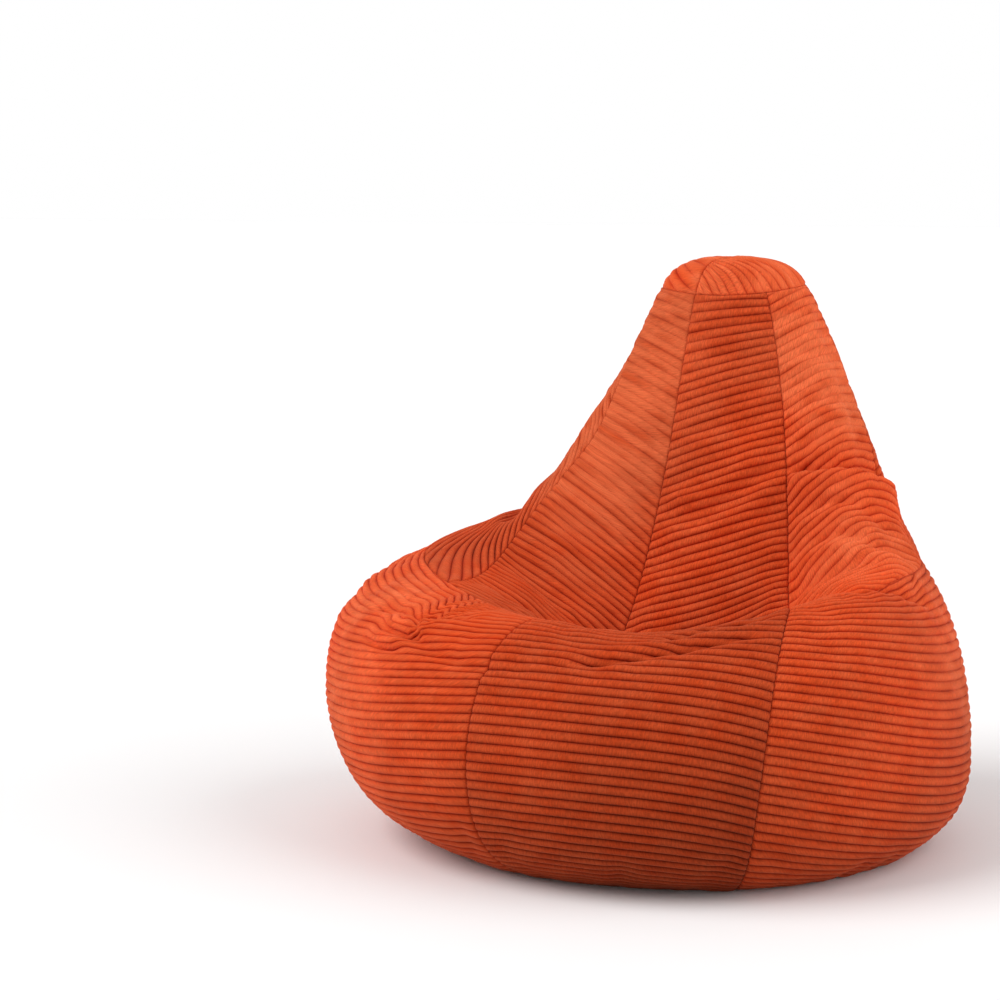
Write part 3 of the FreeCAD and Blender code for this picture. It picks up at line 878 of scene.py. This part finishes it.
@dataclass
class Base:
    """The two halves of the base, either side of the zip."""

    skin: Skin
    cloth: Corduroy = field(default_factory=Corduroy)
    zip_line: float = 0.045
    slot_half: float = 0.009
    slot_end: float = 0.262
    body: str = "bag"

    def outline(self, y: Array) -> tuple[Array, Array]:
        """Where the floor edge of the skin lies at each depth, on the left and on the right."""
        edge = self.skin.points[0, :-1]
        found = []
        for side in (-1.0, 1.0):
            half = edge[edge[:, 0] * side > 0]
            order = np.argsort(half[:, 1])
            found.append(np.interp(y, half[order, 1], half[order, 0]))
        return found[0], found[1]

    def half(self, node: str, rear: bool) -> bpy.types.Object:
        """One half of the base, with wales that run from side to side."""
        edge = self.skin.points[0, :, 1]
        low, high = self.zip_line, float(edge.max()) - RIM_INSET
        if not rear:
            low, high = float(edge.min()) + RIM_INSET, self.zip_line
        y = self.cloth.rows(low, high)
        left, right = self.outline(y)
        share = self.cloth.steps(0.74)
        x = left[:, None] + share[None, :] * (right - left)[:, None]
        depth = np.repeat(y[:, None], len(share), axis=1)
        lip = self.zip_line + (self.slot_half if rear else -self.slot_half)
        over = (np.abs(x) < self.slot_end) & ((depth < lip) if rear else (depth > lip))
        depth = np.where(over, lip, depth)
        inside = np.minimum(x - left[:, None], right[:, None] - x)
        seam = np.where(np.abs(x) < self.slot_end, np.abs(depth - lip), np.abs(depth - self.zip_line))
        outer = np.abs(depth - (edge.max() if rear else edge.min()))
        gap = np.maximum(0.0, np.minimum(np.minimum(inside, seam), outer * 0.6))
        phase = np.mod(depth / self.cloth.pitch, 1.0)
        wale = self.cloth.ridge(phase) * self.cloth.wale_fade(gap)
        up = 0.0006 + (1.0 - wale) * 0.0022 + np.minimum(0.0012, self.cloth.seam_drop(gap) * 0.3)
        points = np.stack([x, depth, up], axis=2)
        weave = np.stack([x, depth, gap], axis=2)
        points, weave, wale = rim(points), rim(weave), rim(wale)
        row = 0 if rear else -1
        points[row, :, 2] += 0.003
        mesh = grid_mesh(node + "_cloth", points[:, ::-1], {
            "weave": weave[:, ::-1], "wale": wale[:, ::-1], "nap_and_sheen": np.zeros_like(wale),
            "tone": np.full_like(wale, 0.8)})
        finish_mesh(mesh)
        piece = new_piece(node + "_cloth", mesh, self.body, [node])
        return piece

    def build(self) -> list[bpy.types.Object]:
        """Builds both halves."""
        return [self.half("base_front", False), self.half("base_rear", True)]


@dataclass
class Inside:
    """The liner and the bead filling, one inside the other."""

    skin: Skin
    around: int = 120
    rows: int = 96
    near: int = 12
    most_out: float = 0.006
    body: str = "bag"

    def __post_init__(self) -> None:
        """Finds the deepest crease near each place, for the liner to lie under."""
        self.lowest = self.skin.moved
        for axis in (0, 1):
            self.lowest = np.minimum.reduce([np.roll(self.lowest, k, axis=axis)
                                             for k in range(-self.near, self.near + 1, 2)])

    def shell(self, name: str, node: str, depth: float) -> bpy.types.Object:
        """A closed bag at a given depth below the cover.

        Args:
            name: the piece's name.
            node: the frame node it stands for.
            depth: how far below the skin it lies.

        Returns:
            The piece.
        """
        heights = np.linspace(0.0, height_of(LINER_TOP_RING), self.rows)
        degrees = START + 360.0 * np.arange(self.around + 1) / self.around
        u, v = np.meshgrid(degrees, heights)
        below = np.minimum(self.skin.look_up(self.lowest, u, v), self.most_out) - depth
        points = self.skin.look_up(self.skin.first_points, u, v)
        points = points + self.skin.look_up(self.skin.first_normals, u, v) * below[..., None]
        points[:, -1] = points[:, 0]
        points[..., 2] = np.maximum(points[..., 2], depth)
        mesh = grid_mesh(name, points)
        bm = bmesh.new()
        bm.from_mesh(mesh)
        bmesh.ops.remove_doubles(bm, verts=bm.verts[:], dist=1e-5)
        open_edges = [e for e in bm.edges if e.is_boundary]
        bmesh.ops.holes_fill(bm, edges=open_edges, sides=0)
        bmesh.ops.triangulate(bm, faces=[f for f in bm.faces if len(f.verts) > 4])
        bmesh.ops.recalc_face_normals(bm, faces=bm.faces[:])
        for face in bm.faces:
            face.smooth = True
        bm.to_mesh(mesh)
        bm.free()
        piece = new_piece(name, mesh, self.body, [node])
        return piece

    def build(self) -> list[bpy.types.Object]:
        """Builds the liner and the filling."""
        return [self.shell("liner_bag", "inner_liner", 0.016),
                self.shell("bead_mass", "bead_filling", 0.020)]


# ------------------------------------------------------------------ zip
@dataclass
class Zip:
    """The base zip: coils, slider and pull."""

    line: float = 0.045
    coil_pitch: float = 0.0022
    coil_radius: float = 0.0009
    wire: float = 0.00036
    steps_a_turn: int = 9
    row_gap: float = 0.0020
    end: float = 0.243
    height: float = 0.0041
    slider_x: float = 0.234
    body: str = "bag"
    runner: str = "zip_runner"

    def coil(self, side: int) -> bpy.types.Object:
        """One row of interlocking coil, spun along the zip.

        Args:
            side: -1 for the front row, 1 for the rear row.

        Returns:
            The coil.
        """
        name = "front" if side < 0 else "rear"
        bm = bmesh.new()
        middle = Vector((-self.end, self.line + side * self.row_gap, self.height))
        start = middle + Vector((0.0, 0.0, self.coil_radius))
        across = (Matrix.Rotation(math.pi / 2, 4, "Z") @ Matrix.Rotation(math.pi, 4, "X")
                  @ Matrix.Rotation(math.pi / 2, 4, "Y"))
        bmesh.ops.create_circle(bm, cap_ends=False, segments=5, radius=self.wire,
                                matrix=Matrix.Translation(start) @ across)
        turns = int(2 * self.end / self.coil_pitch)
        steps = self.steps_a_turn * turns
        bmesh.ops.spin(bm, geom=bm.verts[:] + bm.edges[:], cent=middle, axis=(1.0, 0.0, 0.0),
                       dvec=(self.coil_pitch / self.steps_a_turn, 0.0, 0.0),
                       angle=2.0 * math.pi * turns * -side, steps=steps, use_duplicate=False)
        bmesh.ops.holes_fill(bm, edges=[e for e in bm.edges if e.is_boundary], sides=0)
        bmesh.ops.recalc_face_normals(bm, faces=bm.faces[:])
        for face in bm.faces:
            face.smooth = True
        mesh = bpy.data.meshes.new("zip_coil_" + name + "_turns")
        bm.to_mesh(mesh)
        bm.free()
        return new_piece(mesh.name, mesh, self.body, ["zip_coil_" + name])

    def block(self, bm: bmesh.types.BMesh, centre: Sequence[float], size: Sequence[float],
              bevel: float) -> None:
        """Adds a block with rounded edges to a mesh in the making."""
        place = Matrix.Translation(centre) @ Matrix.Diagonal((*size, 1.0))
        made = bmesh.ops.create_cube(bm, size=1.0, matrix=place)
        edges = list({e for v in made["verts"] for e in v.link_edges})
        bmesh.ops.bevel(bm, geom=edges, offset=bevel, affect="EDGES", segments=3, profile=0.5, material=-1)

    def slider(self) -> bpy.types.Object:
        """The slider: two plates, the post between them and the bail for the pull."""
        bm = bmesh.new()
        x, y = self.slider_x, self.line
        plate, leg = (0.012, 0.0104, 0.0009), (0.0012, 0.0024, 0.0009)
        post, bail = (0.004, 0.0006, 0.0036), (0.006, 0.0022, 0.0006)
        for along, up, size, bevel in ((0.0, 0.00215, plate, 0.0003), (0.0, 0.00615, plate, 0.0003),
                                       (-0.004, 0.00415, post, 0.0001), (-0.0024, 0.0014, leg, 0.0002),
                                       (0.0024, 0.0014, leg, 0.0002), (0.0, 0.00102, bail, 0.0002)):
            self.block(bm, (x + along, y, up), size, bevel)
        mesh = bpy.data.meshes.new("zip_slider_body")
        bm.to_mesh(mesh)
        bm.free()
        return new_piece(mesh.name, mesh, self.runner, ["zip_slider"])

    def pull(self) -> bpy.types.Object:
        """The flat pull, with a pressed grip panel."""
        bm = bmesh.new()
        centre, size = (self.slider_x + 0.009, self.line, 0.00085), (0.024, 0.0072, 0.0007)
        place = Matrix.Translation(centre) @ Matrix.Diagonal((*size, 1.0))
        bmesh.ops.create_cube(bm, size=1.0, matrix=place)
        upright = [e for e in bm.edges if abs((e.verts[0].co - e.verts[1].co).z) > size[2] / 2]
        bmesh.ops.bevel(bm, geom=upright, offset=0.0018, affect="EDGES", segments=5, profile=0.5, material=-1)
        faces = [f for f in bm.faces if abs(f.normal.z) > 0.9]
        bmesh.ops.inset_individual(bm, faces=faces, thickness=0.0011, depth=-0.0001)
        mesh = bpy.data.meshes.new("zip_pull_tab")
        bm.to_mesh(mesh)
        bm.free()
        return new_piece(mesh.name, mesh, self.runner, ["zip_pull"])

    def build(self) -> list[bpy.types.Object]:
        """Builds both coils, the slider and the pull."""
        return [self.coil(-1), self.coil(1), self.slider(), self.pull()]


# ------------------------------------------------------------------ finishes
class NodeGraph:
    """A short way to add and join shader nodes."""

    def __init__(self, tree: bpy.types.NodeTree) -> None:
        """Takes the tree to add to."""
        self.tree = tree

    def add(self, kind: str, **values: object) -> bpy.types.Node:
        """Adds a node; values set its properties, or its inputs where the key starts with i_."""
        node = self.tree.nodes.new(kind)
        for key, value in values.items():
            if key.startswith("i_"):
                name = key[2:].replace("_", " ")
                slot = node.inputs[int(name)] if name.isdigit() else node.inputs[name]
                if isinstance(value, bpy.types.NodeSocket):
                    self.tree.links.new(value, slot)
                else:
                    slot.default_value = value
            else:
                setattr(node, key, value)
        return node

    def mix(self, factor: object, a: object, b: object, blend: str = "MIX") -> bpy.types.NodeSocket:
        """Mixes two colours."""
        node = self.tree.nodes.new("ShaderNodeMix")
        node.data_type = "RGBA"
        node.blend_type = blend
        for slot, value in ((node.inputs[0], factor), (node.inputs[6], a), (node.inputs[7], b)):
            if isinstance(value, bpy.types.NodeSocket):
                self.tree.links.new(value, slot)
            else:
                slot.default_value = value
        return node.outputs[2]

    def maths(self, how: str, a: object, b: object = 0.0) -> bpy.types.NodeSocket:
        """One arithmetic step."""
        node = self.tree.nodes.new("ShaderNodeMath")
        node.operation = how
        for slot, value in zip(node.inputs, (a, b)):
            if isinstance(value, bpy.types.NodeSocket):
                self.tree.links.new(value, slot)
            else:
                slot.default_value = value
        return node.outputs[0]

    def spread(self, value: object, low: float, high: float, to_low: float,
               to_high: float) -> bpy.types.NodeSocket:
        """Rescales a value and clamps it."""
        node = self.add("ShaderNodeMapRange", i_0=value, i_1=low, i_2=high, i_3=to_low, i_4=to_high)
        return node.outputs[0]


def fibre_group() -> bpy.types.NodeTree:
    """Short fibres: a fine uneven height and a mottle, for every cloth here."""
    group = bpy.data.node_groups.new("cloth_fibre", "ShaderNodeTree")
    for name, kind, default in (("Vector", "NodeSocketVector", None),
                                ("Fibre size", "NodeSocketFloat", 900.0),
                                ("Mottle size", "NodeSocketFloat", 60.0)):
        socket = group.interface.new_socket(name=name, in_out="INPUT", socket_type=kind)
        if default is not None:
            socket.default_value = default
    for name in ("Height", "Mottle"):
        group.interface.new_socket(name=name, in_out="OUTPUT", socket_type="NodeSocketFloat")
    g = NodeGraph(group)
    enter, leave = g.add("NodeGroupInput"), g.add("NodeGroupOutput")
    fine = g.add("ShaderNodeTexNoise", i_Vector=enter.outputs[0], i_Scale=enter.outputs[1], i_Detail=3.0)
    broad = g.add("ShaderNodeTexNoise", i_Vector=enter.outputs[0], i_Scale=enter.outputs[2], i_Detail=4.0)
    group.links.new(fine.outputs[0], leave.inputs[0])
    group.links.new(broad.outputs[0], leave.inputs[1])
    return group


@dataclass(frozen=True)
class CorduroyFinish:
    """Orange wide-wale corduroy with a brushed pile."""

    name: str = "corduroy"
    pile: tuple[float, float, float, float] = (0.60, 0.062, 0.011, 1.0)
    # painted shade: the colour of the grooves between the wales
    groove_shade: tuple[float, float, float, float] = (0.36, 0.010, 0.0004, 1.0)
    # the paler colour of brushed pile, also used for painted sheen
    brushed: tuple[float, float, float, float] = (0.74, 0.165, 0.062, 1.0)
    roughness: float = 0.9
    sheen: float = 0.12

    def make(self, fibre: bpy.types.NodeTree) -> bpy.types.Material:
        """Builds the material.

        Args:
            fibre: the shared cloth fibre group.

        Returns:
            The material.
        """
        material = bpy.data.materials.new(self.name)
        material.use_nodes = True
        g = NodeGraph(material.node_tree)
        shader = material.node_tree.nodes["Principled BSDF"]
        place = g.add("ShaderNodeTexCoord").outputs["Object"]
        wale = g.add("ShaderNodeAttribute", attribute_name="wale").outputs["Fac"]
        nap_and_sheen = g.add("ShaderNodeAttribute", attribute_name="nap_and_sheen").outputs["Fac"]
        weave = g.add("ShaderNodeAttribute", attribute_name="weave").outputs["Vector"]
        fuzz = g.add("ShaderNodeGroup", node_tree=fibre, i_0=place, i_1=1400.0, i_2=26.0)
        stretch = g.add("ShaderNodeMapping", i_Vector=weave, i_Scale=(1.0, 0.22, 0.0)).outputs[0]
        ticks = g.add("ShaderNodeTexNoise", i_Vector=stretch, i_Scale=520.0, i_Detail=2.0).outputs[0]
        mottle = g.spread(fuzz.outputs[1], 0.35, 0.68, 0.0, 1.0)
        tone = g.add("ShaderNodeAttribute", attribute_name="tone").outputs["Fac"]
        # painted shade: the grooves between the wales take the darker colour, darker still on darker panels;
        # the wales' tops keep the pile colour
        top = g.spread(wale, 0.05, 0.95, 0.0, 1.0)
        shade = g.spread(tone, 0.5, 1.1, 0.5, 1.1)
        colour = g.mix(top, g.mix(1.0, self.groove_shade, shade, "MULTIPLY"), self.pile)
        colour = g.mix(g.maths("MULTIPLY", g.maths("MULTIPLY", mottle, top), 0.24), colour, self.brushed)
        # brushed pile turns paler; in one place on the wrap's right edge this is painted sheen
        colour = g.mix(g.maths("MULTIPLY", nap_and_sheen, 0.60), colour, self.brushed)
        # painted light and shade: the tone attribute lightens or darkens the colour panel by panel and
        # towards the floor
        colour = g.mix(1.0, colour, tone, "MULTIPLY")
        tick = g.spread(ticks, 0.38, 0.62, 0.80, 1.12)
        colour = g.mix(1.0, colour, tick, "MULTIPLY")
        material.node_tree.links.new(colour, shader.inputs["Base Color"])
        rough = g.spread(mottle, 0.0, 1.0, self.roughness - 0.06, self.roughness + 0.06)
        material.node_tree.links.new(rough, shader.inputs["Roughness"])
        shader.inputs["Sheen Weight"].default_value = self.sheen
        shader.inputs["Sheen Roughness"].default_value = 0.45
        shader.inputs["Sheen Tint"].default_value = (1.0, 0.50, 0.32, 1.0)
        shader.inputs["Specular IOR Level"].default_value = 0.06
        height = g.maths("ADD", g.maths("MULTIPLY", fuzz.outputs[0], 0.6), g.maths("MULTIPLY", ticks, 0.7))
        bump = g.add("ShaderNodeBump", i_Strength=0.5, i_Distance=0.0009, i_Height=height)
        material.node_tree.links.new(bump.outputs[0], shader.inputs["Normal"])
        return material


@dataclass(frozen=True)
class WovenFinish:
    """A plain woven cloth such as tape or liner."""

    name: str
    colour: tuple[float, float, float, float]
    thread: float
    roughness: float = 0.8

    def make(self, fibre: bpy.types.NodeTree) -> bpy.types.Material:
        """Builds the material from two crossing sets of threads."""
        material = bpy.data.materials.new(self.name)
        material.use_nodes = True
        g = NodeGraph(material.node_tree)
        shader = material.node_tree.nodes["Principled BSDF"]
        place = g.add("ShaderNodeTexCoord").outputs["Object"]
        sets = []
        for axis in ("X", "Y"):
            wave = g.add("ShaderNodeTexWave", wave_type="BANDS", bands_direction=axis, wave_profile="SIN",
                         i_Vector=place, i_Scale=0.314 / self.thread, i_Distortion=0.3)
            sets.append(wave.outputs["Fac"])
        woven = g.maths("MAXIMUM", *sets)
        fuzz = g.add("ShaderNodeGroup", node_tree=fibre, i_0=place, i_1=1800.0, i_2=40.0)
        dark = tuple(c * 0.55 for c in self.colour[:3]) + (1.0,)
        colour = g.mix(g.spread(woven, 0.0, 1.0, 0.2, 1.0), dark, self.colour)
        colour = g.mix(g.maths("MULTIPLY", fuzz.outputs[1], 0.25), colour, dark)
        material.node_tree.links.new(colour, shader.inputs["Base Color"])
        shader.inputs["Roughness"].default_value = self.roughness
        shader.inputs["Sheen Weight"].default_value = 0.2
        height = g.maths("ADD", woven, g.maths("MULTIPLY", fuzz.outputs[0], 0.4))
        bump = g.add("ShaderNodeBump", i_Strength=0.4, i_Distance=0.0002, i_Height=height)
        material.node_tree.links.new(bump.outputs[0], shader.inputs["Normal"])
        return material


@dataclass(frozen=True)
class HardFinish:
    """A moulded or metal finish with fine scuffs."""

    name: str
    colour: tuple[float, float, float, float]
    metallic: float
    roughness: float

    def make(self, fibre: bpy.types.NodeTree) -> bpy.types.Material:
        """Builds the material."""
        material = bpy.data.materials.new(self.name)
        material.use_nodes = True
        g = NodeGraph(material.node_tree)
        shader = material.node_tree.nodes["Principled BSDF"]
        place = g.add("ShaderNodeTexCoord").outputs["Object"]
        scuff = g.add("ShaderNodeGroup", node_tree=fibre, i_0=place, i_1=2500.0, i_2=300.0)
        pale = tuple(min(1.0, c * 1.6 + 0.03) for c in self.colour[:3]) + (1.0,)
        colour = g.mix(g.spread(scuff.outputs[1], 0.5, 0.75, 0.0, 0.6), self.colour, pale)
        material.node_tree.links.new(colour, shader.inputs["Base Color"])
        rough = g.spread(scuff.outputs[1], 0.3, 0.7, self.roughness - 0.08, self.roughness + 0.12)
        material.node_tree.links.new(rough, shader.inputs["Roughness"])
        shader.inputs["Metallic"].default_value = self.metallic
        return material


@dataclass
class Wardrobe:
    """Makes each finish once and dresses pieces in it."""

    made: dict[str, bpy.types.Material] = field(default_factory=dict)

    def __post_init__(self) -> None:
        """Builds every finish."""
        fibre = fibre_group()
        finishes = (
            CorduroyFinish(),
            WovenFinish("zip_tape", (0.40, 0.055, 0.016, 1.0), 0.0007),
            WovenFinish("liner_cloth", (0.72, 0.72, 0.70, 1.0), 0.0006),
            HardFinish("zip_coil", (0.34, 0.045, 0.014, 1.0), 0.0, 0.42),
            HardFinish("zip_metal", (0.035, 0.035, 0.038, 1.0), 0.9, 0.36),
            HardFinish("beads", (0.86, 0.86, 0.84, 1.0), 0.0, 0.7),
        )
        for finish in finishes:
            self.made[finish.name] = finish.make(fibre)

    def dress(self, piece: bpy.types.Object, slot: str) -> None:
        """Gives a piece one finish all over."""
        piece.data.materials.clear()
        piece.data.materials.append(self.made[slot])


# ------------------------------------------------------------------ studio
@dataclass(frozen=True)
class Studio:
    """Pale floor and backdrop, soft lights and the camera."""

    azimuth: float = 12.0
    distance: float = 4.40
    eye: float = 1.09
    pitch: float = 7.3
    lens: float = 102.1
    aside: float = 3.85
    dusk: float = 0.50

    def camera(self) -> None:
        """Places the camera in front of the chair and a little to its right."""
        a, turn, dip = (math.radians(v) for v in (self.azimuth, self.azimuth + self.aside, self.pitch))
        data = bpy.data.cameras.new("camera")
        data.lens = self.lens
        data.sensor_width = 36.0
        eye = bpy.data.objects.new("camera", data)
        bpy.context.scene.collection.objects.link(eye)
        eye.location = (self.distance * math.sin(a), -self.distance * math.cos(a), self.eye)
        eye.rotation_euler = (math.pi / 2 - dip, 0.0, turn)
        bpy.context.scene.camera = eye

    def light(self, name: str, way: Sequence[float], strength: float, softness: float) -> None:
        """Adds one large soft light far away.

        Args:
            name: the light's name.
            way: direction from the chair towards the light.
            strength: its irradiance in watts per square metre.
            softness: how wide it looks from the chair, in degrees.
        """
        data = bpy.data.lights.new(name, "SUN")
        data.energy = strength
        data.angle = math.radians(softness)
        lamp = bpy.data.objects.new(name, data)
        bpy.context.scene.collection.objects.link(lamp)
        lamp.location = way
        lamp.rotation_euler = Vector(way).to_track_quat("Z", "Y").to_euler()

    def backdrop(self) -> None:
        """A large flat pale floor."""
        bm = bmesh.new()
        bmesh.ops.create_grid(bm, x_segments=1, y_segments=1, size=30.0)
        mesh = bpy.data.meshes.new("floor")
        bm.to_mesh(mesh)
        bm.free()
        floor = bpy.data.objects.new("floor", mesh)
        bpy.context.scene.collection.objects.link(floor)
        material = bpy.data.materials.new("floor")
        material.use_nodes = True
        shader = material.node_tree.nodes["Principled BSDF"]
        shader.inputs["Base Color"].default_value = (0.93, 0.93, 0.93, 1.0)
        shader.inputs["Roughness"].default_value = 0.7
        mesh.materials.append(material)

    def build(self) -> None:
        """Builds the whole studio."""
        self.camera()
        self.backdrop()
        self.light("key", (-2.6, -1.5, 2.9), 1.9, 45.0)
        self.light("fill", (3.0, -0.3, 1.9), 1.4, 60.0)
        world = bpy.data.worlds.new("studio")
        world.use_nodes = True
        g = NodeGraph(world.node_tree)
        sky = world.node_tree.nodes["Background"]
        away = g.add("ShaderNodeNewGeometry").outputs["Incoming"]
        up = g.add("ShaderNodeSeparateXYZ", i_Vector=away).outputs["Z"]
        glow = g.spread(g.maths("ABSOLUTE", up), 0.12, 0.30, 1.0, self.dusk)
        world.node_tree.links.new(glow, sky.inputs[1])
        sky.inputs[0].default_value = (1.0, 1.0, 1.0, 1.0)
        bpy.context.scene.world = world
        bpy.context.scene.view_settings.view_transform = "Standard"


def main() -> None:
    """Builds the chair, dresses it and sets the studio."""
    logging.basicConfig(level=logging.INFO, format="%(message)s")
    Studio().build()
    wardrobe = Wardrobe()
    skin = Skin()
    skin.push(Stuffing().swell(skin))
    skin.push(sum((fold.press(skin) for fold in FOLDS), np.zeros(skin.points.shape[:2])))
    low, high = skin.points.min(axis=(0, 1)), skin.points.max(axis=(0, 1))
    LOG.info("skin spans %s to %s", low.round(3), high.round(3))
    for piece in Cover(skin).build() + Base(skin).build():
        wardrobe.dress(piece, "corduroy")
    liner, beads = Inside(skin).build()
    wardrobe.dress(liner, "liner_cloth")
    wardrobe.dress(beads, "beads")
    for piece, slot in zip(Zip().build(), ("zip_coil", "zip_coil", "zip_metal", "zip_metal")):
        wardrobe.dress(piece, slot)
    for node, slot in (("zip_tape_front", "zip_tape"), ("zip_tape_rear", "zip_tape"),
                       ("zip_guard", "zip_tape"), ("zip_stop_left", "zip_coil"),
                       ("zip_stop_right", "zip_coil")):
        wardrobe.dress(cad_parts[node], slot)


if __name__ == "__main__":
    main()
